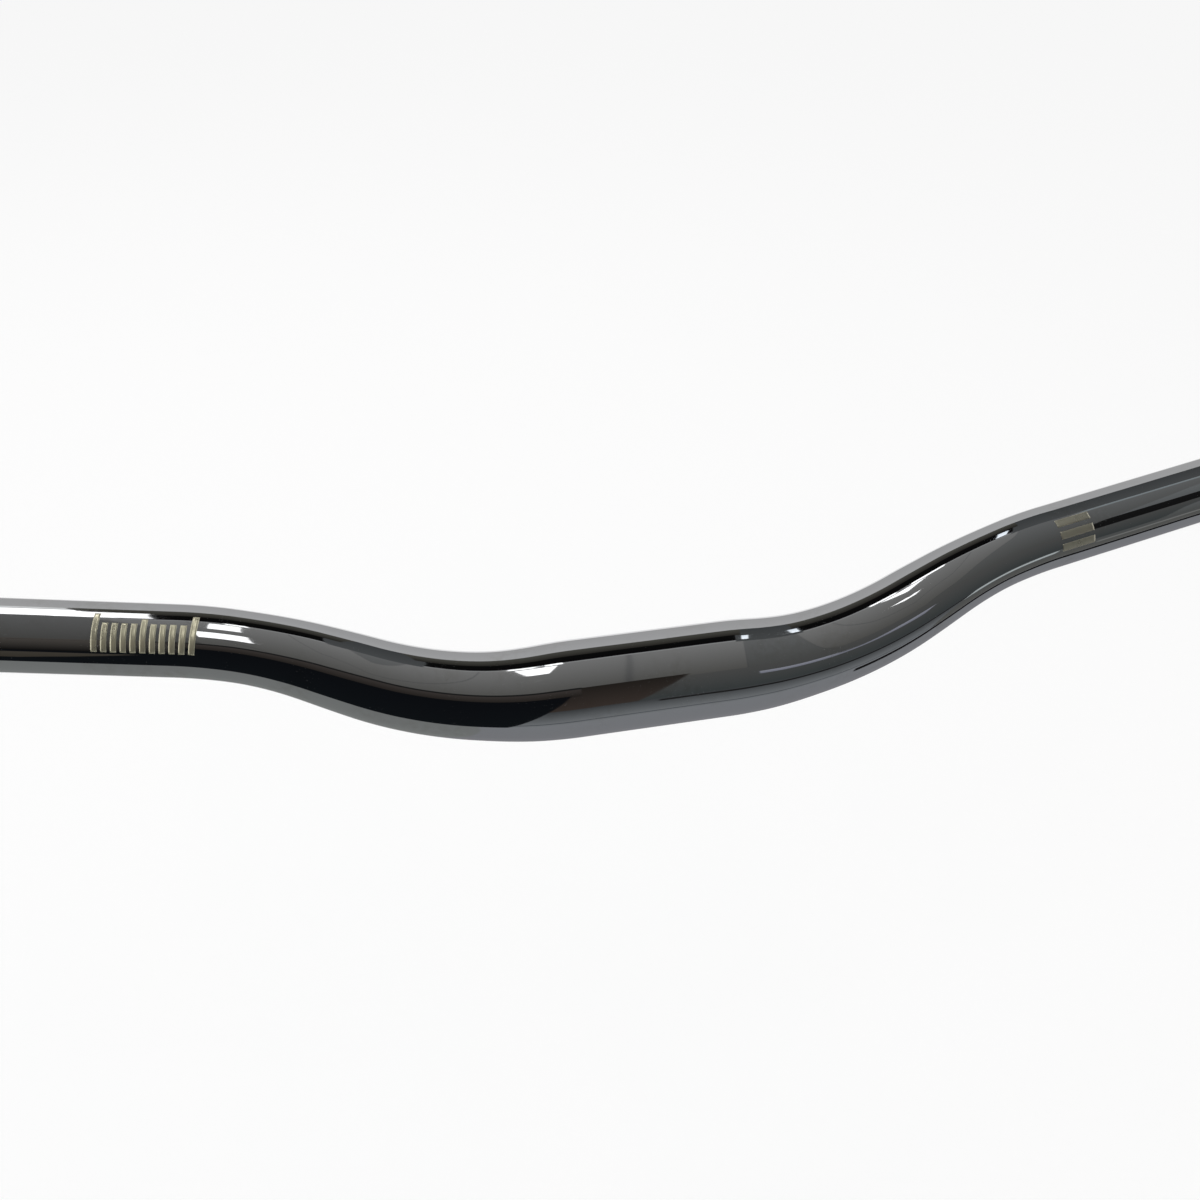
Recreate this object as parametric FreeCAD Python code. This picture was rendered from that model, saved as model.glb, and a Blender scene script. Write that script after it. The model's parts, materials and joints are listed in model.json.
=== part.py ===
"""A one-piece riser handlebar: a hollow, bent and tapered tube.

The bar is clamped at its fat middle, climbs on each side through an inner and an outer bend,
and ends in two straight stretches for the grips and levers.

Frame: the origin is the middle of the clamped stretch. +X runs along that stretch, +Y points
back towards the rider and +Z points up. The bar is symmetric about the plane X = 0.
Lengths are in millimetres and angles in degrees.
"""
import FreeCAD
import Part

import math
import os

from FreeCAD import Vector

# Overall width, between the centres of the two cut ends
BAR_WIDTH = 720.0

# Bends, from the middle outwards
CENTRE_STRAIGHT = 69.0      # straight middle, between the two inner bends
INNER_BEND_RADIUS = 130.0   # to the centreline
RISE_ANGLE = 25.3           # how far the inner bend turns the tube off the clamp axis
RISE_LEAN = 22.0            # how far the climbing stretch leans back from upright
RISE_STRAIGHT = 15.0        # straight between the inner and the outer bend
OUTER_BEND_RADIUS = 130.0   # to the centreline
UPSWEEP = 5.0               # of the grip stretch, seen from the front
BACKSWEEP = 8.5             # of the grip stretch, seen from above

# Outside diameters, and the lengths of centreline over which one runs into the next
CLAMP_DIAMETER = 31.8
CLAMP_LENGTH = 50.0         # the whole stretch of full diameter, both sides of the middle
SHOULDER_RUN = 31.0
SHOULDER_DIAMETER = 28.3
RISE_RUN = 36.0
RISE_DIAMETER = 26.0
GRIP_RUN = 40.0
GRIP_DIAMETER = 22.2

# Wall, which thins from the clamp to the grips
CLAMP_WALL = 2.6
GRIP_WALL = 2.0

# Cut ends
END_CHAMFER = 0.5

# Sections of the bent stretch lie about this far apart along the centreline
SECTION_SPACING = 4.0

# The cut that makes the bore runs this far past the ends
BORE_OVERRUN = 5.0

MIDDLE = Vector(0, 0, 0)
SIDEWAYS = Vector(1, 0, 0)
BACK = Vector(0, 1, 0)


def tangent(angle):
    """The tangent of an angle in degrees."""
    return math.tan(math.radians(angle))


def rise_heading():
    """Unit direction of the climbing stretch on the +X side."""
    turn = math.radians(RISE_ANGLE)
    lean = math.radians(RISE_LEAN)
    return Vector(math.cos(turn), math.sin(turn) * math.sin(lean), math.sin(turn) * math.cos(lean))


def grip_heading():
    """Unit direction of the grip stretch on the +X side."""
    return Vector(1, tangent(BACKSWEEP), tangent(UPSWEEP)).normalize()


class Straight:
    """A straight run of the centreline."""

    def __init__(self, start, heading, length):
        self.start, self.heading, self.length = start, heading, length

    def at(self, distance):
        """Point and direction at a distance along the run."""
        return self.start + self.heading * distance, self.heading


class Bend:
    """A circular arc of the centreline that turns it from one heading to another."""

    def __init__(self, start, heading, new_heading, radius):
        self.start, self.heading, self.radius = start, heading, radius
        self.inward = (new_heading - heading * heading.dot(new_heading)).normalize()
        self.length = radius * heading.getAngle(new_heading)

    def at(self, distance):
        """Point and direction at a distance along the arc."""
        angle = distance / self.radius
        ahead = self.heading * math.sin(angle) + self.inward * (1 - math.cos(angle))
        direction = self.heading * math.cos(angle) + self.inward * math.sin(angle)
        return self.start + ahead * self.radius, direction


class Centreline:
    """The +X half of the bar's centreline, from the middle of the clamp to the cut end."""

    def __init__(self):
        rise, grip = rise_heading(), grip_heading()
        self.runs = [Straight(MIDDLE, SIDEWAYS, CENTRE_STRAIGHT / 2)]
        self.add(lambda start: Bend(start, SIDEWAYS, rise, INNER_BEND_RADIUS))
        self.add(lambda start: Straight(start, rise, RISE_STRAIGHT))
        self.add(lambda start: Bend(start, rise, grip, OUTER_BEND_RADIUS))
        self.bent_length = sum(run.length for run in self.runs)
        self.bend_end = self.end()
        self.grip_length = (BAR_WIDTH / 2 - self.bend_end.x) / grip.x
        self.add(lambda start: Straight(start, grip, self.grip_length))

    def end(self):
        """Where the last run ends."""
        last = self.runs[-1]
        return last.at(last.length)[0]

    def add(self, make_run):
        """Adds the run that make_run gives for the end of the last one."""
        self.runs.append(make_run(self.end()))

    def at(self, distance):
        """Point and direction at a distance along the centreline."""
        for run in self.runs[:-1]:
            if distance <= run.length:
                return run.at(distance)
            distance -= run.length
        return self.runs[-1].at(distance)


class Taper:
    """A size that runs smoothly from value to value along the centreline, and is level at both ends."""

    def __init__(self, distances, values):
        self.distances, self.values = distances, values
        rates = []
        for i in range(len(values) - 1):
            rates.append((values[i + 1] - values[i]) / (distances[i + 1] - distances[i]))
        inner = [self.between(rates[i], rates[i + 1]) for i in range(len(rates) - 1)]
        self.slopes = [0.0] + inner + [0.0]

    @staticmethod
    def between(rate, next_rate):
        """Slope where two runs meet, which keeps the size from over-swinging."""
        if rate * next_rate <= 0:
            return 0.0
        return 2 * rate * next_rate / (rate + next_rate)

    def at(self, distance):
        """The size at a distance along the centreline."""
        if distance <= self.distances[0]:
            return self.values[0]
        for i in range(len(self.values) - 1):
            low, high = self.distances[i], self.distances[i + 1]
            if distance <= high:
                return self.blend(i, (distance - low) / (high - low), high - low)
        return self.values[-1]

    def blend(self, i, share, length):
        """Cubic between values i and i + 1, with the slopes at both."""
        rest = 1 - share
        value = self.values[i] * (1 + 2 * share) * rest**2
        value += self.values[i + 1] * (3 - 2 * share) * share**2
        value += self.slopes[i] * length * share * rest**2
        value -= self.slopes[i + 1] * length * share**2 * rest
        return value


def taper_distances():
    """Distances from the middle at which the tube has its named diameters."""
    clamp_end = CLAMP_LENGTH / 2
    shoulder = clamp_end + SHOULDER_RUN
    rise = shoulder + RISE_RUN
    return [clamp_end, shoulder, rise, rise + GRIP_RUN]


def outside_taper():
    """The outside diameter along the centreline."""
    diameters = [CLAMP_DIAMETER, SHOULDER_DIAMETER, RISE_DIAMETER, GRIP_DIAMETER]
    return Taper(taper_distances(), diameters)


def wall_taper():
    """The wall along the centreline, which thins over the whole length of the taper."""
    distances = taper_distances()
    return Taper([distances[0], distances[-1]], [CLAMP_WALL, GRIP_WALL])


def section(point, direction, radius):
    """A circular section of the tube, square to its centreline, with its seam at the back."""
    seam = BACK - direction * BACK.dot(direction)
    turn = FreeCAD.Rotation(seam, Vector(0, 0, 0), direction, "ZXY")
    circle = Part.makeCircle(radius)
    circle.Placement = FreeCAD.Placement(point, turn)
    return Part.Wire(circle)


def bent_stretch(centreline, radius_at, bent_end):
    """The tapering stretch of one side, from the end of the clamp to the end of the bends."""
    start = CLAMP_LENGTH / 2
    count = math.ceil((bent_end - start) / SECTION_SPACING)
    sections = []
    for i in range(count + 1):
        distance = start + (bent_end - start) * i / count
        sections.append(section(*centreline.at(distance), radius_at(distance)))
    return Part.makeLoft(sections, True, False)


def bar_solid(centreline, radius_at, overrun):
    """The bar filled to a radius along its centreline, and run past its cut ends by an overrun."""
    start = CLAMP_LENGTH / 2
    bent_end = max(centreline.bent_length, taper_distances()[-1])
    clamp = Part.makeCylinder(radius_at(0), CLAMP_LENGTH, MIDDLE - SIDEWAYS * start, SIDEWAYS)
    foot, heading = centreline.at(bent_end)
    reach = centreline.bent_length + centreline.grip_length - bent_end + overrun
    grip = Part.makeCylinder(radius_at(bent_end), reach, foot, heading)
    one_side = [bent_stretch(centreline, radius_at, bent_end), grip]
    other_side = [piece.mirror(MIDDLE, SIDEWAYS) for piece in one_side]
    return clamp.multiFuse(one_side + other_side).removeSplitter()


def cut_end_edges(tube):
    """The round edges of both cut ends, which are the tube's only flat faces."""
    ends = [face for face in tube.Faces if isinstance(face.Surface, Part.Plane)]
    return [edge for end in ends for edge in end.Edges]


def handlebar(centreline):
    """The finished tube, with its bore and its chamfered ends."""
    diameter, wall = outside_taper(), wall_taper()
    outside = bar_solid(centreline, lambda s: diameter.at(s) / 2, 0)
    bore = bar_solid(centreline, lambda s: diameter.at(s) / 2 - wall.at(s), BORE_OVERRUN)
    tube = outside.cut(bore)
    return tube.makeChamfer(END_CHAMFER, cut_end_edges(tube))


def main():
    """Builds the handlebar and writes its file."""
    os.makedirs("parts", exist_ok=True)
    centreline = Centreline()
    tube = handlebar(centreline)
    tube.exportStep("parts/handlebar.step")
    print("solids", len(tube.Solids), "valid", tube.isValid(), "faces", len(tube.Faces))
    print("volume", round(tube.Volume, 1), "box", tube.BoundBox)
    print("bends end", round(centreline.bent_length, 3), "along, at", centreline.bend_end)
    print("grip ends", round(centreline.grip_length, 3), "further, at", centreline.end())


if __name__ == "__main__":
    main()
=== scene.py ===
"""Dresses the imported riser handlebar: one bent, tapered chrome tube with two printed marks.

Lengths are in metres and angles in degrees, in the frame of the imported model: the origin is the
middle of the clamp, +X runs along the clamp, +Y points back towards the rider and +Z points up.
"""
import json
import logging
import math
from dataclasses import dataclass, field
from enum import Enum

import bpy
import numpy as np
from mathutils import Matrix, Vector


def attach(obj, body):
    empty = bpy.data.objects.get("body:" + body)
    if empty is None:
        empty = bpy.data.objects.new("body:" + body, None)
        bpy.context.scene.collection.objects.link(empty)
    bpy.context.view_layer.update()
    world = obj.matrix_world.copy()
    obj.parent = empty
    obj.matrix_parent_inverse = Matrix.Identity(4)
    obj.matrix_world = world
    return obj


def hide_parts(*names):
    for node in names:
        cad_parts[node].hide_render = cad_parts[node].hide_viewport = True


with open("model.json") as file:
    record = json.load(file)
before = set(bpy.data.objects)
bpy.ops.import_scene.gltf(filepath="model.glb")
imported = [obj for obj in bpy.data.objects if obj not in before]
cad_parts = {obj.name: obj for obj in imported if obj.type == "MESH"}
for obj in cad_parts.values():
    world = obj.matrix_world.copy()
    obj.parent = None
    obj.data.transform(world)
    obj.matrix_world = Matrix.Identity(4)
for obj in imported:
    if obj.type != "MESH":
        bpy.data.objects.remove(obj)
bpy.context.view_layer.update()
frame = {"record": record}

LOG = logging.getLogger("handlebar")

BODY = "root"
STRAIGHTENED = "straightened"  # mesh attribute: where a point lies on the tube before it is bent
RISE = "rise"  # mesh attribute: 0 along a card's low edge and 1 along its high edge
MM = 0.001

WHITE = (1.0, 1.0, 1.0)

Array = np.ndarray
Colour = tuple[float, float, float]
Place = list[float] | tuple[float, float, float]
Socket = bpy.types.NodeSocket


class MountName(Enum):
    """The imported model's interfaces that give the tube its sizes."""

    CLAMP = "stem_clamp"
    GRIP = "left_grip_seat"
    BORE = "left_end_bore"


class Slot(Enum):
    """The record's material slots."""

    CHROME = "chrome"
    PRINT = "printed_marks"


def grey(tone: float) -> Colour:
    """A neutral tone."""
    return tone, tone, tone


def unit(vector: Array) -> Array:
    """Scales a vector to a length of one."""
    return vector / np.linalg.norm(vector)


# Shader nodes


class Graph:
    """Adds nodes to a shader tree, and takes sockets or plain values alike as inputs."""

    def __init__(self, tree: bpy.types.NodeTree) -> None:
        """Keeps the tree that the nodes go into."""
        self.tree = tree

    def add(
        self, kind: str, inputs: dict[str | int, object] | None = None, **settings: object
    ) -> bpy.types.Node:
        """Adds a node.

        Args:
            kind: Blender's name of the node type.
            inputs: A value, or the socket to link, for each named or numbered input.
            **settings: Properties of the node itself.

        Returns:
            The new node.
        """
        node = self.tree.nodes.new(kind)
        for name, value in settings.items():
            setattr(node, name, value)
        for key, value in (inputs or {}).items():
            self.feed(node.inputs[key], value)
        return node

    def feed(self, socket: Socket, value: object) -> None:
        """Links an input to a socket, or sets its value.

        Args:
            socket: The input.
            value: The socket to link, or a plain value. Three numbers make an opaque colour.
        """
        if isinstance(value, bpy.types.NodeSocket):
            self.tree.links.new(value, socket)
        elif isinstance(value, tuple) and len(value) == 3 and socket.type == "RGBA":
            socket.default_value = (*value, 1.0)
        else:
            socket.default_value = value

    def math(self, operation: str, first: object, second: object = 0.0) -> Socket:
        """Adds a Math node and returns its value."""
        return self.add("ShaderNodeMath", {0: first, 1: second}, operation=operation).outputs[0]

    def ramp(self, value: object, low: float, high: float, start: float = 0.0, end: float = 1.0) -> Socket:
        """Maps a value smoothly from one range to another.

        Args:
            value: The value or socket to map.
            low: The value that gives start.
            high: The value that gives end.
            start: The result at and below low.
            end: The result at and above high.

        Returns:
            The mapped value.
        """
        inputs = {"Value": value, "From Min": low, "From Max": high, "To Min": start, "To Max": end}
        return self.add("ShaderNodeMapRange", inputs, interpolation_type="SMOOTHSTEP").outputs[0]

    def mix(self, share: object, first: object, second: object) -> Socket:
        """Mixes two colours.

        Args:
            share: How much of the second colour there is.
            first: The first colour or its socket.
            second: The second colour or its socket.

        Returns:
            The mixed colour.
        """
        node = self.add("ShaderNodeMix", data_type="RGBA")
        for key, value in (("Factor_Float", share), ("A_Color", first), ("B_Color", second)):
            self.feed(next(s for s in node.inputs if s.identifier == key), value)
        return next(s for s in node.outputs if s.identifier == "Result_Color")

    def stretched(self, coordinates: Socket, scale: tuple[float, float, float]) -> Socket:
        """Scales coordinates by a different amount on each axis."""
        return self.add("ShaderNodeMapping", {"Vector": coordinates, "Scale": scale}).outputs[0]

    def noise(self, coordinates: Socket, scale: float, detail: float = 2.0) -> Socket:
        """Adds a noise texture and returns its value."""
        inputs = {"Vector": coordinates, "Scale": scale, "Detail": detail}
        return self.add("ShaderNodeTexNoise", inputs).outputs[0]


class Effect(Enum):
    """The surface effects that several finishes share, each a node group."""

    FILM = "handling_film"
    DUST = "dust_specks"
    LINES = "drawn_lines"
    WAVES = "polishing_waves"


@dataclass(frozen=True)
class EffectLibrary:
    """Builds the shared node groups once and places them in materials."""

    film_scale: float = 55.0
    cloud_range: tuple[float, float] = (0.46, 0.70)
    smear_scale: float = 420.0
    smear_range: tuple[float, float] = (0.30, 0.75)
    speck_scale: float = 1500.0
    speck_size: float = 0.22
    patch_range: tuple[float, float] = (0.42, 0.66)
    line_stretch: float = 0.02
    fine_lines: float = 2600.0
    coarse_lines: float = 700.0
    wave_scale: float = 38.0

    def build(self) -> None:
        """Makes every node group."""
        self.build_film()
        self.build_dust()
        self.build_lines()
        self.build_waves()

    @staticmethod
    def start(effect: Effect, value_name: str, amount_name: str) -> tuple[Graph, Socket, Socket, Socket]:
        """Makes an empty group with coordinates and an amount going in, and one value coming out.

        Args:
            effect: The effect to name the group after.
            value_name: The name of the value that comes out.
            amount_name: The name of the amount that goes in.

        Returns:
            The group's graph, its coordinates, its amount and the socket that takes its result.
        """
        tree = bpy.data.node_groups.new(effect.value, "ShaderNodeTree")
        tree.interface.new_socket("Coordinates", in_out="INPUT", socket_type="NodeSocketVector")
        tree.interface.new_socket(amount_name, in_out="INPUT", socket_type="NodeSocketFloat")
        tree.interface.new_socket(value_name, in_out="OUTPUT", socket_type="NodeSocketFloat")
        graph = Graph(tree)
        inside = graph.add("NodeGroupInput")
        result = graph.add("NodeGroupOutput").inputs[0]
        return graph, inside.outputs[0], inside.outputs[1], result

    def build_film(self) -> None:
        """A greasy film from handling: soft clouds broken up by finer smears."""
        graph, coordinates, amount, result = self.start(Effect.FILM, "Mask", "Amount")
        clouds = graph.ramp(graph.noise(coordinates, self.film_scale, 3.0), *self.cloud_range)
        smears = graph.ramp(graph.noise(coordinates, self.smear_scale, 4.0), *self.smear_range)
        graph.feed(result, graph.math("MULTIPLY", graph.math("MULTIPLY", clouds, smears), amount))

    def build_dust(self) -> None:
        """Small specks of dust, thicker in some places than in others."""
        graph, coordinates, amount, result = self.start(Effect.DUST, "Mask", "Amount")
        cells = graph.add("ShaderNodeTexVoronoi", {"Vector": coordinates, "Scale": self.speck_scale})
        size = graph.math("MULTIPLY", cells.outputs["Color"], self.speck_size)
        speck = graph.math("LESS_THAN", cells.outputs["Distance"], size)
        patch = graph.ramp(graph.noise(coordinates, self.film_scale), *self.patch_range)
        graph.feed(result, graph.math("MULTIPLY", graph.math("MULTIPLY", speck, patch), amount))

    def build_lines(self) -> None:
        """Fine lines that run along the tube, from drawing it through a die."""
        graph, coordinates, amount, result = self.start(Effect.LINES, "Height", "Depth")
        along = graph.stretched(coordinates, (self.line_stretch, 1.0, 1.0))
        fine = graph.noise(along, self.fine_lines, 3.0)
        coarse = graph.noise(along, self.coarse_lines, 2.0)
        graph.feed(result, graph.math("MULTIPLY", graph.math("ADD", fine, coarse), amount))

    def build_waves(self) -> None:
        """Faint long waves that polishing leaves in a bright surface."""
        graph, coordinates, amount, result = self.start(Effect.WAVES, "Height", "Depth")
        waves = graph.noise(coordinates, self.wave_scale, 1.0)
        graph.feed(result, graph.math("MULTIPLY", waves, amount))

    @staticmethod
    def place(graph: Graph, effect: Effect, coordinates: Socket, amount: float) -> Socket:
        """Places an effect in a material.

        Args:
            graph: The material's graph.
            effect: The effect to place.
            coordinates: Where on the tube a point lies.
            amount: How strong the effect is, or how deep in metres.

        Returns:
            The effect's mask or height.
        """
        node = graph.add("ShaderNodeGroup", node_tree=bpy.data.node_groups[effect.value])
        graph.feed(node.inputs[0], coordinates)
        graph.feed(node.inputs[1], amount)
        return node.outputs[0]


class Finish:
    """What every finish does: make a material with one shader, and feed it."""

    name: str

    def material(self) -> bpy.types.Material:
        """Makes the material.

        Returns:
            The material, with its shader fed.
        """
        material = bpy.data.materials.new(self.name)
        material.use_nodes = True
        material.node_tree.nodes.clear()
        graph = Graph(material.node_tree)
        shader = graph.add("ShaderNodeBsdfPrincipled")
        output = graph.add("ShaderNodeOutputMaterial")
        graph.feed(output.inputs["Surface"], shader.outputs[0])
        self.dress(graph, shader)
        return material

    def dress(self, graph: Graph, shader: bpy.types.Node) -> None:
        """Feeds the shader. Each finish has its own way."""
        raise NotImplementedError

    @staticmethod
    def place(graph: Graph) -> Socket:
        """Where a point lies on the tube before it is bent."""
        return graph.add("ShaderNodeAttribute", attribute_name=STRAIGHTENED).outputs["Vector"]

    @staticmethod
    def bump(graph: Graph, shader: bpy.types.Node, height: Socket) -> None:
        """Feeds a height in metres to the shader's normal."""
        node = graph.add("ShaderNodeBump", {"Height": height, "Strength": 1.0, "Distance": 1.0})
        graph.feed(shader.inputs["Normal"], node.outputs[0])


@dataclass(frozen=True)
class ChromeFinish(Finish):
    """Bright chrome plating, polished, with a little handling film and dust."""

    name: str = "bright_chrome"
    colour: Colour = (0.560, 0.566, 0.578)
    film_colour: Colour = (0.500, 0.500, 0.496)
    dust_colour: Colour = (0.46, 0.45, 0.43)
    roughness: float = 0.036
    film_roughness: float = 0.085
    dust_roughness: float = 0.5
    film: float = 0.8
    dust: float = 0.2
    line_depth: float = 0.0000004
    wave_depth: float = 0.0001

    def dress(self, graph: Graph, shader: bpy.types.Node) -> None:
        """Feeds colour, metal, roughness and fine relief.

        Args:
            graph: The material's graph.
            shader: The Principled BSDF.
        """
        place = self.place(graph)
        film = EffectLibrary.place(graph, Effect.FILM, place, self.film)
        dust = EffectLibrary.place(graph, Effect.DUST, place, self.dust)
        lines = EffectLibrary.place(graph, Effect.LINES, place, self.line_depth)
        waves = EffectLibrary.place(graph, Effect.WAVES, place, self.wave_depth)
        plating = graph.mix(film, self.colour, self.film_colour)
        graph.feed(shader.inputs["Base Color"], graph.mix(dust, plating, self.dust_colour))
        graph.feed(shader.inputs["Metallic"], graph.ramp(dust, 0.0, 1.0, 1.0, 0.0))
        veiled = graph.ramp(film, 0.0, 1.0, self.roughness, self.film_roughness)
        rough = graph.math("MAXIMUM", veiled, graph.math("MULTIPLY", dust, self.dust_roughness))
        graph.feed(shader.inputs["Roughness"], rough)
        self.bump(graph, shader, graph.math("ADD", lines, waves))


@dataclass(frozen=True)
class CutFinish(ChromeFinish):
    """The same plating over the cut ends, where the cutter's marks dull it."""

    name: str = "dull_cut"
    roughness: float = 0.26
    film_roughness: float = 0.34


@dataclass(frozen=True)
class BoreFinish(Finish):
    """Bare drawn alloy on the inside of the tube."""

    name: str = "bare_bore"
    colour: Colour = (0.62, 0.62, 0.61)
    stain_colour: Colour = (0.36, 0.35, 0.33)
    metallic: float = 0.6
    roughness: float = 0.40
    stain_roughness: float = 0.60
    stain: float = 1.0
    line_depth: float = 0.000006

    def dress(self, graph: Graph, shader: bpy.types.Node) -> None:
        """Feeds stained metal with drawn lines.

        Args:
            graph: The material's graph.
            shader: The Principled BSDF.
        """
        place = self.place(graph)
        stain = EffectLibrary.place(graph, Effect.FILM, place, self.stain)
        lines = EffectLibrary.place(graph, Effect.LINES, place, self.line_depth)
        graph.feed(shader.inputs["Base Color"], graph.mix(stain, self.colour, self.stain_colour))
        shader.inputs["Metallic"].default_value = self.metallic
        rough = graph.ramp(stain, 0.0, 1.0, self.roughness, self.stain_roughness)
        graph.feed(shader.inputs["Roughness"], rough)
        self.bump(graph, shader, lines)


@dataclass(frozen=True)
class PrintFinish(Finish):
    """Satin metallic ink in a pale straw colour, thin in places."""

    name: str = "printed_ink"
    colour: Colour = (0.94, 0.89, 0.66)
    thin_colour: Colour = (0.72, 0.68, 0.52)
    metallic: float = 0.9
    roughness: float = 0.30
    thin_roughness: float = 0.23
    film: float = 1.0
    grain_depth: float = 0.0000015

    def dress(self, graph: Graph, shader: bpy.types.Node) -> None:
        """Feeds uneven ink with a fine grain.

        Args:
            graph: The material's graph.
            shader: The Principled BSDF.
        """
        place = self.place(graph)
        film = EffectLibrary.place(graph, Effect.FILM, place, self.film)
        grain = EffectLibrary.place(graph, Effect.LINES, place, self.grain_depth)
        graph.feed(shader.inputs["Base Color"], graph.mix(film, self.colour, self.thin_colour))
        shader.inputs["Metallic"].default_value = self.metallic
        rough = graph.ramp(film, 0.0, 1.0, self.roughness, self.thin_roughness)
        graph.feed(shader.inputs["Roughness"], rough)
        self.bump(graph, shader, grain)


@dataclass(frozen=True)
class ShadedPrintFinish(PrintFinish):
    """The same ink in darker tones, which paint shade on the mark that lies in the shade."""

    name: str = "shaded_ink"
    # Darker tones than the ink's own colour: painted shade.
    colour: Colour = (0.58, 0.55, 0.44)
    thin_colour: Colour = (0.46, 0.44, 0.36)


# The tube


@dataclass(frozen=True)
class StraightRun:
    """A straight run of the centreline."""

    start: Array
    heading: Array
    length: float

    def at(self, distance: float) -> tuple[Array, Array]:
        """Point and direction at a distance along the run."""
        return self.start + self.heading * distance, self.heading


@dataclass(frozen=True)
class BendRun:
    """A circular arc that turns the centreline from one heading to another."""

    start: Array
    heading: Array
    new_heading: Array
    radius: float

    @property
    def length(self) -> float:
        """The length of the arc."""
        return self.radius * math.acos(float(self.heading @ self.new_heading))

    def at(self, distance: float) -> tuple[Array, Array]:
        """Point and direction on the arc.

        Args:
            distance: Distance along the arc.

        Returns:
            The point, and the unit direction there.
        """
        inward = unit(self.new_heading - self.heading * (self.heading @ self.new_heading))
        angle = distance / self.radius
        ahead = self.heading * math.sin(angle) + inward * (1 - math.cos(angle))
        direction = self.heading * math.cos(angle) + inward * math.sin(angle)
        return self.start + ahead * self.radius, direction


@dataclass(frozen=True)
class Taper:
    """A size that runs smoothly from value to value along the centreline."""

    distances: tuple[float, ...]
    values: tuple[float, ...]

    def slopes(self) -> list[float]:
        """The slope at each value.

        Returns:
            The slopes, which are level at the ends and keep the size from over-swinging between.
        """
        rates = np.diff(self.values) / np.diff(self.distances)
        inner = [2 * a * b / (a + b) if a * b > 0 else 0.0 for a, b in zip(rates, rates[1:])]
        return [0.0, *inner, 0.0]

    def at(self, distance: float) -> float:
        """The size at a place.

        Args:
            distance: Distance along the centreline from the middle.

        Returns:
            The size, which stays level before the first and after the last distance.
        """
        if distance <= self.distances[0]:
            return self.values[0]
        if distance >= self.distances[-1]:
            return self.values[-1]
        i = int(np.searchsorted(self.distances, distance)) - 1
        length = self.distances[i + 1] - self.distances[i]
        share = (distance - self.distances[i]) / length
        rest, slopes = 1 - share, self.slopes()
        value = self.values[i] * (1 + 2 * share) * rest**2
        value += self.values[i + 1] * (3 - 2 * share) * share**2
        return value + length * share * rest * (slopes[i] * rest - slopes[i + 1] * share)


class Zone(Enum):
    """The zones of the tube's skin."""

    OUTSIDE = "outside"
    LIP = "lip"
    BORE = "bore"


@dataclass(frozen=True)
class Ring:
    """One ring of the tube's mesh: how far along it lies, its radius and its zone."""

    along: float
    radius: float
    zone: Zone


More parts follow.
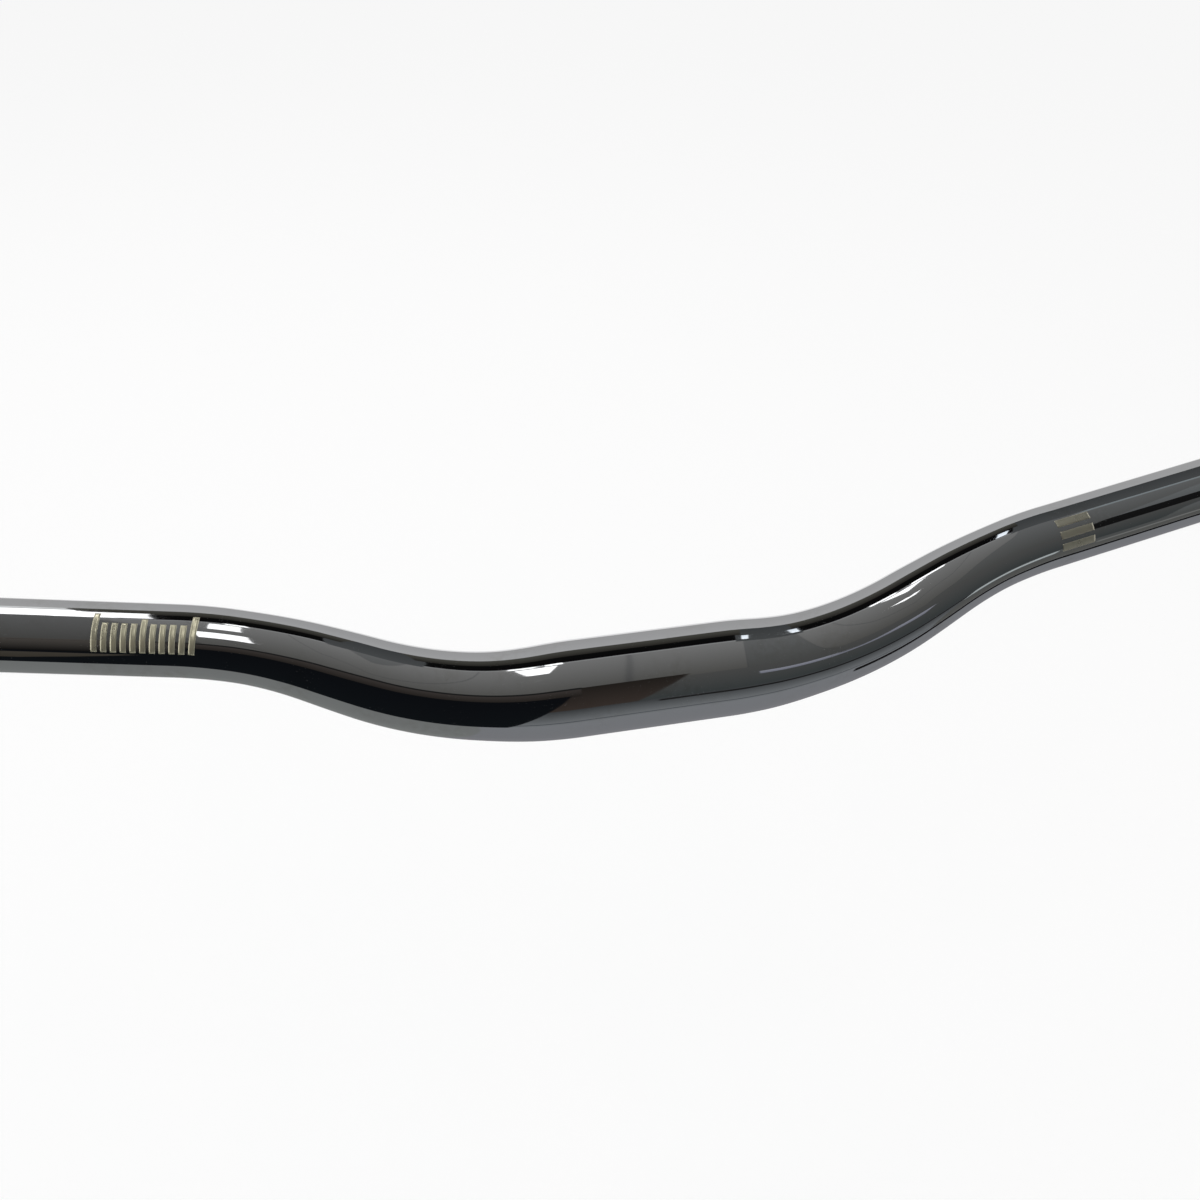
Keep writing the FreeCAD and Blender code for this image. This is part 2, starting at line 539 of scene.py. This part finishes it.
@dataclass
class HandlebarTube:
    """The bent tube: outside, chamfered ends and bore, as one closed mesh.

    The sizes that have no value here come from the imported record.
    """

    clamp_radius: float
    clamp_length: float
    grip_radius: float
    bore_radius: float
    grip_heading: Array
    width: float = 0.720
    centre_straight: float = 0.069
    inner_bend_radius: float = 0.130
    rise_angle: float = 25.3
    rise_lean: float = 22.0
    rise_straight: float = 0.015
    outer_bend_radius: float = 0.130
    shoulder_run: float = 0.031
    shoulder_diameter: float = 0.0283
    rise_run: float = 0.036
    rise_diameter: float = 0.026
    grip_run: float = 0.040
    clamp_wall: float = 0.0026
    end_chamfer: float = 0.0005
    around: int = 128
    bend_step: float = 0.0012
    straight_step: float = 0.006
    bore_step: float = 0.004
    runs: list[StraightRun | BendRun] = field(default_factory=list)

    @classmethod
    def from_record(cls, record: dict) -> "HandlebarTube":
        """Takes the clamp's, the grips' and the bores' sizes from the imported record.

        Args:
            record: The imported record.

        Returns:
            The tube, with its centreline laid out.
        """
        mounts = {mount["name"]: mount for mount in record["mounts"]}
        clamp, grip, bore = (mounts[name.value] for name in MountName)
        tube = cls(
            clamp_radius=clamp["dims"]["r_mm"] * MM,
            clamp_length=clamp["dims"]["length_mm"] * MM,
            grip_radius=grip["dims"]["r_mm"] * MM,
            bore_radius=bore["dims"]["r_mm"] * MM,
            grip_heading=unit(np.array(grip["axis"])),
        )
        tube.lay_centreline()
        return tube

    def lay_centreline(self) -> None:
        """Lays out the runs of the +X half, from the middle of the clamp to the cut end."""
        sideways = np.array([1.0, 0.0, 0.0])
        turn, lean = math.radians(self.rise_angle), math.radians(self.rise_lean)
        climb = np.array([0.0, math.sin(lean), math.cos(lean)])
        rise = sideways * math.cos(turn) + climb * math.sin(turn)
        grip = self.grip_heading
        self.runs = [StraightRun(np.zeros(3), sideways, self.centre_straight / 2)]
        self.runs.append(BendRun(self.half_end(), sideways, rise, self.inner_bend_radius))
        self.runs.append(StraightRun(self.half_end(), rise, self.rise_straight))
        self.runs.append(BendRun(self.half_end(), rise, grip, self.outer_bend_radius))
        left_over = (self.width / 2 - self.half_end()[0]) / grip[0]
        self.runs.append(StraightRun(self.half_end(), grip, left_over))

    def half_end(self) -> Array:
        """Where the runs laid out so far end."""
        return self.runs[-1].at(self.runs[-1].length)[0]

    @property
    def half_length(self) -> float:
        """Length of the centreline from the middle to a cut end."""
        return sum(run.length for run in self.runs)

    @property
    def bent_length(self) -> float:
        """Length of the centreline from the middle to the end of the bends."""
        return sum(run.length for run in self.runs[:-1])

    def centre(self, along: float) -> tuple[Array, Array]:
        """Point and direction of the centreline.

        Args:
            along: Distance from the middle, negative on the -X side.

        Returns:
            The point, and the unit direction towards +X.
        """
        left, run = abs(along), self.runs[0]
        for next_run in self.runs[1:]:
            if left <= run.length:
                break
            left, run = left - run.length, next_run
        point, direction = run.at(left)
        if along >= 0:
            return point, direction
        return point * (-1, 1, 1), direction * (1, -1, -1)

    def taper_distances(self) -> tuple[float, ...]:
        """Distances from the middle at which the tube has its named diameters."""
        runs = (self.clamp_length / 2, self.shoulder_run, self.rise_run, self.grip_run)
        return tuple(float(d) for d in np.cumsum(runs))

    def outside(self) -> Taper:
        """The outside radius along the centreline."""
        radii = (self.clamp_radius, self.shoulder_diameter / 2, self.rise_diameter / 2, self.grip_radius)
        return Taper(self.taper_distances(), radii)

    def wall(self) -> Taper:
        """The wall along the centreline."""
        distances = self.taper_distances()
        return Taper((distances[0], distances[-1]), (self.clamp_wall, self.grip_radius - self.bore_radius))

    def section(self, along: float) -> tuple[Array, Array, Array]:
        """A section, square to the centreline.

        Args:
            along: Distance of the section from the middle.

        Returns:
            Its middle, and its two unit axes, to the front and up.
        """
        point, direction = self.centre(along)
        back = np.array([0.0, 1.0, 0.0])
        back = unit(back - direction * (back @ direction))
        return point, -back, np.cross(direction, back)

    def surface(self, along: float, angles: Array, radius: float) -> Array:
        """Points of a section.

        Args:
            along: Distance of the section from the middle.
            angles: Angles from the front upwards, in radians.
            radius: Radius of the points.

        Returns:
            One row for each angle.
        """
        point, front, up = self.section(along)
        return point + radius * (np.cos(angles)[:, None] * front + np.sin(angles)[:, None] * up)

    def stations(self, end: float, bend_step: float) -> list[float]:
        """Distances of the sections, close together in the bends.

        Args:
            end: Distance of the last section from the middle.
            bend_step: How far apart the sections are in the bends.

        Returns:
            Distances from the -X end to the +X end.
        """
        clamp_end, bends_end = self.clamp_length / 2, self.bent_length
        stretches = ((0.0, clamp_end, self.straight_step), (clamp_end, bends_end, bend_step))
        stretches += ((bends_end, end, self.straight_step),)
        half = []
        for start, stop, step in stretches:
            count = math.ceil((stop - start) / step)
            half += [start + (stop - start) * i / count for i in range(count)]
        half.append(end)
        return [-distance for distance in half[:0:-1]] + half

    def rings(self) -> list[Ring]:
        """Every ring of the mesh, once round the wall.

        Returns:
            The rings along the outside, over one lip and back through the bore to the other lip.
        """
        outside, wall, tip, cut = self.outside(), self.wall(), self.half_length, self.end_chamfer
        outer, inner = [], []
        for along in self.stations(tip - cut, self.bend_step):
            outer.append(Ring(along, outside.at(abs(along)), Zone.OUTSIDE))
        for along in self.stations(tip - cut, self.bore_step):
            inner.append(Ring(along, outside.at(abs(along)) - wall.at(abs(along)), Zone.BORE))
        radii = (self.grip_radius - cut, self.bore_radius + cut)
        lip = [Ring(tip, radius, Zone.LIP) for radius in radii]
        other_lip = [Ring(-tip, radius, Zone.LIP) for radius in reversed(radii)]
        return outer + lip + inner[::-1] + other_lip

    def build(self) -> bpy.types.Object:
        """Makes the tube's mesh and dresses it.

        Returns:
            The tube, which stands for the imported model's node.
        """
        rings = self.rings()
        angles = np.linspace(0, 2 * math.pi, self.around, endpoint=False)
        points = np.concatenate([self.surface(ring.along, angles, ring.radius) for ring in rings])
        faces = self.faces(len(rings))
        mesh = bpy.data.meshes.new("handlebar_tube")
        mesh.from_pydata(points.tolist(), [], faces)
        mesh.polygons.foreach_set("use_smooth", [True] * len(faces))
        self.dress(mesh, rings, angles)
        mesh.update()
        tube = bpy.data.objects.new("handlebar_tube", mesh)
        bpy.context.scene.collection.objects.link(tube)
        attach(tube, BODY)
        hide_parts("handlebar")
        return tube

    def faces(self, ring_count: int) -> list[list[int]]:
        """The four-sided faces between each ring and the next.

        Args:
            ring_count: How many rings there are.

        Returns:
            The points of each face, ring by ring.
        """
        around, faces = self.around, []
        for i in range(ring_count):
            ring, next_ring = i * around, (i + 1) % ring_count * around
            for k in range(around):
                n = (k + 1) % around
                faces.append([ring + k, next_ring + k, next_ring + n, ring + n])
        return faces

    def dress(self, mesh: bpy.types.Mesh, rings: list[Ring], angles: Array) -> None:
        """Gives the mesh its finishes, its sharp edges and its place on the straightened tube.

        Args:
            mesh: The tube's mesh.
            rings: Its rings.
            angles: The angles of a ring's points.
        """
        finishes = {Zone.OUTSIDE: ChromeFinish(), Zone.LIP: CutFinish(), Zone.BORE: BoreFinish()}
        for finish in finishes.values():
            mesh.materials.append(finish.material())
        order, indices, places, sharp = list(finishes), [], [], set()
        for i, ring in enumerate(rings):
            next_ring = rings[(i + 1) % len(rings)]
            zone = ring.zone if ring.zone is next_ring.zone else Zone.LIP
            indices += [order.index(zone)] * self.around
            if Zone.LIP in (rings[i - 1].zone, ring.zone, next_ring.zone):
                sharp.add(i)
            across = ring.radius * np.cos(angles), ring.radius * np.sin(angles)
            places.append(np.column_stack([np.full(self.around, ring.along), *across]))
        mesh.polygons.foreach_set("material_index", indices)
        place = mesh.attributes.new(STRAIGHTENED, "FLOAT_VECTOR", "POINT")
        place.data.foreach_set("vector", np.concatenate(places).ravel())
        for edge in mesh.edges:
            first, second = (vertex // self.around for vertex in edge.vertices)
            edge.use_edge_sharp = first == second and first in sharp


# Printed marks


@dataclass(frozen=True)
class Bar:
    """One printed bar: where it starts and ends along the tube, and round it."""

    start: float
    end: float
    low: float
    high: float


@dataclass
class PrintedMark:
    """A group of bars printed on the tube, as a thin layer of ink."""

    name: str
    tube: HandlebarTube
    bars: list[Bar]
    ink: PrintFinish
    thickness: float = 0.00004
    sunk: float = 0.00002
    grid_step: float = 0.0006

    def build(self) -> bpy.types.Object:
        """Makes the mark's mesh and dresses it.

        Returns:
            The mark, which rides with the tube.
        """
        points, flat, faces = [], [], []
        for bar in self.bars:
            self.add_bar(bar, points, flat, faces)
        mesh = bpy.data.meshes.new(self.name)
        mesh.from_pydata(points, [], faces)
        mesh.polygons.foreach_set("use_smooth", [True] * len(faces))
        place = mesh.attributes.new(STRAIGHTENED, "FLOAT_VECTOR", "POINT")
        place.data.foreach_set("vector", np.array(flat).ravel())
        mesh.materials.append(self.ink.material())
        mesh.update()
        mark = bpy.data.objects.new(self.name, mesh)
        bpy.context.scene.collection.objects.link(mark)
        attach(mark, BODY)
        return mark

    def add_bar(self, bar: Bar, points: list[Place], flat: list[Place], faces: list[list[int]]) -> None:
        """Adds a bar's closed layer of ink to the mark.

        Args:
            bar: The bar.
            points: The mark's points so far.
            flat: Where they lie on the straightened tube.
            faces: The mark's faces so far.
        """
        outside = self.tube.outside()
        arc = math.radians(bar.high - bar.low) * self.tube.grip_radius
        rows = max(2, math.ceil((bar.end - bar.start) / self.grid_step) + 1)
        columns = max(2, math.ceil(arc / self.grid_step) + 1)
        angles = np.radians(np.linspace(bar.low, bar.high, columns))
        first = len(points)
        for lift in (self.thickness, -self.sunk):
            for along in np.linspace(bar.start, bar.end, rows):
                radius = outside.at(abs(along)) + lift
                points += self.tube.surface(along, angles, radius).tolist()
                flat += [(along, radius * math.cos(a), radius * math.sin(a)) for a in angles]
        under = first + rows * columns
        for i in range(rows - 1):
            for k in range(columns - 1):
                corner = i * columns + k
                quad = [corner, corner + columns, corner + columns + 1, corner + 1]
                faces.append([first + c for c in quad])
                faces.append([under + c for c in reversed(quad)])
        rim = list(range(columns))
        rim += [i * columns + columns - 1 for i in range(1, rows)]
        rim += [(rows - 1) * columns + k for k in range(columns - 2, -1, -1)]
        rim += [i * columns for i in range(rows - 2, 0, -1)]
        for a, b in zip(rim, rim[1:] + rim[:1]):
            faces.append([first + a, first + b, under + b, under + a])


class Tick(Enum):
    """How high each kind of tick reaches, in degrees round the tube."""

    LONG = 78.0
    MIDDLE = 70.0
    SHORT = 62.0


@dataclass
class LeverScale:
    """A plain scale for setting a lever, on the -X side."""

    tube: HandlebarTube
    start: float = -0.1695
    pitch: float = 0.0027
    tick_width: float = 0.0017
    foot: float = 17.0
    order: tuple[Tick, ...] = (
        Tick.LONG, Tick.SHORT, Tick.SHORT, Tick.SHORT, Tick.SHORT, Tick.MIDDLE,
        Tick.SHORT, Tick.SHORT, Tick.SHORT, Tick.SHORT, Tick.LONG,
    )

    def build(self) -> bpy.types.Object:
        """Makes the scale.

        Returns:
            The mark with its ticks.
        """
        bars = []
        for i, tick in enumerate(self.order):
            left = self.start + i * self.pitch
            bars.append(Bar(left, left + self.tick_width, self.foot, tick.value))
        return PrintedMark("lever_scale", self.tube, bars, PrintFinish()).build()


@dataclass
class SetMark:
    """Three plain stripes on the +X side, at the lever's setting."""

    tube: HandlebarTube
    start: float = 0.1465
    end: float = 0.1595
    low: float = 8.0
    stripe: float = 14.0
    gap: float = 8.0
    count: int = 3

    def build(self) -> bpy.types.Object:
        """Makes the stripes.

        Returns:
            The mark with its stripes.
        """
        bars = []
        for i in range(self.count):
            low = self.low + i * (self.stripe + self.gap)
            bars.append(Bar(self.start, self.end, low, low + self.stripe))
        # The stripes take the darker ink, whose colour is painted shade.
        return PrintedMark("set_mark", self.tube, bars, ShadedPrintFinish()).build()


# The studio


def seen_directly(graph: Graph) -> Socket:
    """Tells what the camera, metal and glass show from the light on matt things.

    Args:
        graph: The material's or the world's graph.

    Returns:
        One for what is seen, and zero for the light.
    """
    path = graph.add("ShaderNodeLightPath").outputs
    mirrored = graph.math("MAXIMUM", path["Is Glossy Ray"], path["Is Transmission Ray"])
    return graph.math("MAXIMUM", path["Is Camera Ray"], mirrored)


@dataclass(frozen=True)
class FloorFinish(Finish):
    """A plain pale floor, white to the camera and in the chrome, that keeps shadows."""

    name: str = "pale_floor"
    colour: Colour = (0.82, 0.82, 0.82)
    roughness: float = 0.9
    lift: float = 0.19

    def dress(self, graph: Graph, shader: bpy.types.Node) -> None:
        """Feeds a matt colour, and the lift that makes it white.

        Args:
            graph: The material's graph.
            shader: The Principled BSDF.
        """
        graph.feed(shader.inputs["Base Color"], self.colour)
        graph.feed(shader.inputs["Roughness"], self.roughness)
        graph.feed(shader.inputs["Specular IOR Level"], 0.0)
        graph.feed(shader.inputs["Emission Color"], WHITE)
        lift = graph.math("MULTIPLY", seen_directly(graph), self.lift)
        graph.feed(shader.inputs["Emission Strength"], lift)


@dataclass(frozen=True)
class CardFinish(Finish):
    """The even tones of a card that the chrome mirrors."""

    name: str
    low_tone: Colour
    high_tone: Colour

    def dress(self, graph: Graph, shader: bpy.types.Node) -> None:
        """Feeds a glow that runs from one tone to the other.

        Args:
            graph: The material's graph.
            shader: The Principled BSDF.
        """
        rise = graph.add("ShaderNodeAttribute", attribute_name=RISE).outputs["Fac"]
        graph.feed(shader.inputs["Base Color"], grey(0.0))
        graph.feed(shader.inputs["Roughness"], 1.0)
        graph.feed(shader.inputs["Specular IOR Level"], 0.0)
        graph.feed(shader.inputs["Emission Color"], graph.mix(rise, self.low_tone, self.high_tone))
        graph.feed(shader.inputs["Emission Strength"], 1.0)


@dataclass(frozen=True)
class Card:
    """A plain card, curved about the handlebar, that stands outside the picture and shows in the chrome.

    Its low and high edges are angles about the X axis: 0 is the front horizon, 90 is overhead and 180 is the
    back horizon. With a lean, the right edge comes out further towards the high edge.
    """

    name: str
    radius: float
    left: float
    right: float
    low: float
    high: float
    low_tone: Colour
    high_tone: Colour
    lean: float = 0.0
    step: float = 3.0

    def build(self) -> bpy.types.Object:
        """Makes the card.

        Returns:
            The card, which lights and shades nothing and shows only in the chrome.
        """
        count = math.ceil((self.high - self.low) / self.step)
        shares = [i / count for i in range(count + 1)]
        points = []
        for share in shares:
            turn = math.radians(self.low + (self.high - self.low) * share)
            y, z = -self.radius * math.cos(turn), self.radius * math.sin(turn)
            points += [(self.left, y, z), (self.right + self.lean * share, y, z)]
        faces = [[2 * i, 2 * i + 1, 2 * i + 3, 2 * i + 2] for i in range(count)]
        mesh = bpy.data.meshes.new(self.name)
        mesh.from_pydata(points, [], faces)
        rise = mesh.attributes.new(RISE, "FLOAT", "POINT")
        rise.data.foreach_set("value", np.repeat(shares, 2))
        mesh.materials.append(CardFinish(self.name, self.low_tone, self.high_tone).material())
        card = bpy.data.objects.new(self.name, mesh)
        card.visible_camera = False
        card.visible_diffuse = False
        card.visible_shadow = False
        bpy.context.scene.collection.objects.link(card)
        return card


@dataclass(frozen=True)
class SoftBox:
    """A flat studio light that hangs level, turned about the vertical, and shines down."""

    name: str
    left: float
    right: float
    front: float
    back: float
    turn: float = 0.0
    height: float = 1.9
    brightness: float = 2.0

    def build(self) -> bpy.types.Object:
        """Hangs the light.

        Returns:
            The light.
        """
        data = bpy.data.lights.new(self.name, "AREA")
        data.shape = "RECTANGLE"
        data.size, data.size_y = self.right - self.left, self.back - self.front
        data.energy = self.brightness * math.pi * data.size * data.size_y
        light = bpy.data.objects.new(self.name, data)
        light.location = ((self.left + self.right) / 2, (self.front + self.back) / 2, self.height)
        light.rotation_euler.z = math.radians(self.turn)
        light.visible_camera = False
        bpy.context.scene.collection.objects.link(light)
        return light


@dataclass(frozen=True)
class Camera:
    """The photograph's viewpoint: turned and raised about a point that it looks at."""

    target: tuple[float, float, float] = (-0.01455, 0.01084, 0.02600)
    distance: float = 0.340
    azimuth: float = -12.232
    elevation: float = 35.777
    roll: float = 0.374
    lens: float = 32.0
    sensor: float = 36.0
    clip_start: float = 0.01

    def build(self) -> bpy.types.Object:
        """Makes the scene's camera.

        Returns:
            The camera.
        """
        turn, rise = math.radians(self.azimuth), math.radians(self.elevation)
        level = math.cos(rise)
        back = Vector((math.sin(turn) * level, -math.cos(turn) * level, math.sin(rise)))
        data = bpy.data.cameras.new("camera")
        data.lens, data.sensor_width = self.lens, self.sensor
        data.clip_start = self.clip_start
        camera = bpy.data.objects.new("camera", data)
        facing = (-back).to_track_quat("-Z", "Y").to_matrix().to_4x4()
        tilt = Matrix.Rotation(math.radians(self.roll), 4, "Z")
        stand = Matrix.Translation(Vector(self.target) + back * self.distance)
        camera.matrix_world = stand @ facing @ tilt
        bpy.context.scene.collection.objects.link(camera)
        bpy.context.scene.camera = camera
        return camera


@dataclass
class Studio:
    """Floor, surroundings, cards, lights and camera.

    The cards hang near the bar, in front of it and far round it. Cards that overlap hang a few layers apart.
    Their numbers are set to give the chrome its dark, grey and pale zones.
    """

    floor_height: float = -0.46
    floor_reach: float = 12.0
    fill: float = 0.9
    near: float = 0.42
    strip_radius: float = 0.7
    baffle_radius: float = 0.98
    front: float = 1.7
    far: float = 2.4
    layer: float = 0.005
    near_wide: float = 1.5
    wide: float = 6.0
    flag_edge: float = -0.085
    flag_lean: float = 0.09
    apron_edge: float = 0.52
    beam_left: float = -0.62
    beam_right: float = 0.79
    front_foot: float = -15.4
    ceiling_edge: float = 0.90
    ceiling_low: float = 34.0
    ceiling_high: float = 107.0
    seams: tuple[float, ...] = (-0.36, 0.44, 0.90)
    seam_width: float = 0.014

    def build(self) -> None:
        """Builds everything that isn't part of the handlebar."""
        self.build_floor()
        self.build_world()
        cards = self.flags() + self.sheets() + self.front_cards() + self.ceiling_cards() + self.back_cards()
        for piece in cards + self.soft_boxes():
            piece.build()
            LOG.info("studio: %s", piece.name)
        Camera().build()
        bpy.context.scene.view_settings.view_transform = "Standard"

    def flags(self) -> list[Card]:
        """Dark flags with brown edges close in front of the bar, which give the chrome its black band.

        Returns:
            The flags.
        """
        near, layer, left = self.near, self.layer, -self.near_wide
        edge, lean = self.flag_edge, self.flag_lean
        black, soot = (0.008, 0.010, 0.012), (0.006, 0.007, 0.009)
        brown, umber = (0.025, 0.021, 0.018), (0.07, 0.06, 0.055)
        bark, hide = (0.060, 0.052, 0.040), (0.075, 0.066, 0.054)
        return [
            Card("front_flag", near, left, edge, -45, 24, black, soot, lean),
            Card("flag_top", near + layer, left, 0.03, 22, 40, brown, umber),
            Card("flag_rim", near - layer, left, 0.03, 37.5, 41, grey(0.018), grey(0.02)),
            Card("left_flag", near - layer, left, -0.30, 2, 41, grey(0.006), (0.10, 0.09, 0.08)),
            Card("left_stripe", near - layer, left, -0.46, -26, -4, bark, hide, 0.10),
            Card("flag_side", near + 2 * layer, edge, 0.075, -8, 40, (0.060, 0.046, 0.039), brown, 0.04),
        ]

    def sheets(self) -> list[Card]:
        """Grey sheets under the flags, with a darker, striped apron and a rail on the right.

        Returns:
            The sheets.
        """
        near, layer, right = self.near + 4 * self.layer, self.layer, self.near_wide
        middle, apron = self.flag_edge - 0.02, self.apron_edge
        pale, slate, seam = (0.27, 0.285, 0.295), (0.065, 0.070, 0.073), (0.11, 0.115, 0.125)
        linen = (0.245, 0.250, 0.240)
        return [
            Card("right_apron", near, middle, apron, -45, -8, pale, slate),
            Card("dark_apron", near, apron, right, -45, -8, (0.15, 0.15, 0.138), (0.115, 0.12, 0.12)),
            Card("apron_strip", near - layer, 0.66, right, -27, -21, linen, linen),
            Card("apron_edge", near - layer, apron, 0.60, -18, -11, (0.55, 0.60, 0.61), (0.65, 0.70, 0.70)),
            Card("apron_rim", near - layer, 0.09, apron, -15, -11, grey(0.018), grey(0.022)),
            Card("apron_seam", near - layer, middle, apron, -41, -39, (0.12, 0.125, 0.135), seam),
            Card("sheet_rail", near - layer, 0.34, right, -56, -46, grey(0.006), grey(0.016)),
            Card("right_sheet", near, middle, right, -125, -45, (0.27, 0.27, 0.285), (0.29, 0.30, 0.315)),
            Card("left_sheet", near, -right, middle, -125, -45, (0.27, 0.28, 0.272), (0.25, 0.26, 0.254)),
        ]

    def front_cards(self) -> list[Card]:
        """The dim wall in front, with a pale ledge, a dark panel and a paler end on the right.

        Returns:
            The cards.
        """
        front, wide, foot, proud = self.front, self.wide, self.front_foot, self.front - 20 * self.layer
        dim, dusk = (0.055, 0.065, 0.066), (0.105, 0.105, 0.102)
        return [
            Card("front_wall", front, -wide, wide, foot, 36, dim, dusk),
            Card("pale_ledge", proud, 0.72, 0.88, 17, 23, (0.24, 0.25, 0.30), (0.38, 0.39, 0.45)),
            Card("dark_panel", proud, 1.55, wide, 29, 52, grey(0.01), grey(0.012)),
            Card("right_wall", proud, 2.15, wide, foot, 29, (0.12, 0.125, 0.12), (0.17, 0.18, 0.185)),
        ]

    def ceiling_cards(self) -> list[Card]:
        """The ceiling, brighter towards the back, darker at both sides and with thin seams.

        The baffle has the ceiling's own tones. It hides the right light from all but the right bend.

        Returns:
            The cards.
        """
        far, wide, edge = self.far, self.wide, self.ceiling_edge
        low, high, below = self.ceiling_low, self.ceiling_high, far - 4 * self.layer
        seam_low, seam_high, seam = low + 2, high - 3, (grey(0.085), grey(0.19))
        mist, sky = (0.26, 0.29, 0.30), (0.50, 0.55, 0.57)
        dove, pearl = (0.199, 0.198, 0.191), (0.220, 0.219, 0.213)
        cards = [
            Card("ceiling", far, -wide, edge, low, high, (0.12, 0.118, 0.11), (0.28, 0.28, 0.275)),
            Card("right_ceiling", far, edge, wide, low, high, (0.10, 0.102, 0.098), (0.19, 0.195, 0.195)),
            Card("left_bay", below, -wide, -0.70, low, high, (0.09, 0.089, 0.084), (0.165, 0.166, 0.165)),
            Card("right_bay", below, 2.25, wide, low, high, (0.13, 0.137, 0.137), (0.245, 0.26, 0.265)),
            Card("right_pane", below - self.layer, 1.62, 3.0, 97, 112, mist, sky),
            Card("baffle", self.baffle_radius, 0.0, 0.095, 70, 79.5, dove, pearl),
        ]
        for i, x in enumerate(self.seams):
            right = x + self.seam_width
            cards.append(Card(f"ceiling_seam_{i}", below, x, right, seam_low, seam_high, *seam))
        return cards

    def back_cards(self) -> list[Card]:
        """The black beam over the back, and the pale wall behind it.

        Returns:
            The cards.
        """
        far, layer, wide = self.far, self.layer, self.wide
        left, right = self.beam_left, self.beam_right
        moss, stone = (0.03, 0.028, 0.024), (0.10, 0.098, 0.085)
        ash, slate = (0.10, 0.105, 0.107), (0.07, 0.075, 0.077)
        return [
            Card("black_beam", far - 10 * layer, left, right, 106, 122, grey(0.004), grey(0.006)),
            Card("beam_lip", far - 9 * layer, left, right, 103.5, 106.5, grey(0.34), grey(0.40)),
            # The bright strip glows brighter than white and lights nothing: a painted highlight in the
            # chrome.
            Card("bright_strip", self.strip_radius, 0.275, 0.30, 107, 118, (1.6, 1.7, 1.8), (1.3, 1.4, 1.5)),
            Card("beam_top", far - 9 * layer, left, right + 0.07, 121, 140, moss, stone),
            Card("right_corner", far - 8 * layer, right, 3.0, 102, 140, ash, slate),
            Card("left_corner", far - 6 * layer, -3.0, -0.75, 105, 125, grey(0.16), grey(0.20)),
            Card("back_wall", far, -wide, wide, 139, 190, grey(0.59), grey(0.46)),
        ]

    def soft_boxes(self) -> list[SoftBox]:
        """The lights, all hung at one height, which give the chrome its white streaks.

        Returns:
            The lights.
        """
        return [
            SoftBox("overhead_box", -0.01, 0.12, 0.42, 0.56),
            SoftBox("right_box", 0.14, 0.19, -0.60, -0.45),
            SoftBox("middle_box", -0.185, 0.03, -0.20, 0.37, -9.0),
            SoftBox("front_box", -0.47, -0.13, -1.25, -0.58, -11.0),
            SoftBox("left_box", -0.85, -0.47, 0.62, 1.60),
        ]

    def build_floor(self) -> None:
        """Lays the floor under the handlebar."""
        mesh = bpy.data.meshes.new("floor")
        reach, height = self.floor_reach, self.floor_height
        corners = ((-reach, -reach), (reach, -reach), (reach, reach), (-reach, reach))
        mesh.from_pydata([(x, y, height) for x, y in corners], [], [[0, 1, 2, 3]])
        mesh.materials.append(FloorFinish().material())
        floor = bpy.data.objects.new("floor", mesh)
        bpy.context.scene.collection.objects.link(floor)

    def build_world(self) -> None:
        """Surrounds the handlebar with even light that is white to the camera and in the chrome."""
        world = bpy.data.worlds.new("studio")
        bpy.context.scene.world = world
        world.use_nodes = True
        world.node_tree.nodes.clear()
        graph = Graph(world.node_tree)
        strength = graph.ramp(seen_directly(graph), 0.0, 1.0, self.fill, 1.0)
        background = graph.add("ShaderNodeBackground", {"Color": WHITE, "Strength": strength})
        output = graph.add("ShaderNodeOutputWorld")
        graph.feed(output.inputs["Surface"], background.outputs[0])


def main() -> None:
    """Builds the handlebar, its marks and the studio, in that order."""
    logging.basicConfig(level=logging.INFO, format="%(name)s: %(message)s")
    EffectLibrary().build()
    tube = HandlebarTube.from_record(frame["record"])
    pieces = [tube.build(), LeverScale(tube).build(), SetMark(tube).build()]
    for piece in pieces:
        LOG.info("piece %s: %d faces", piece.name, len(piece.data.polygons))
    Studio().build()


if __name__ == "__main__":
    main()
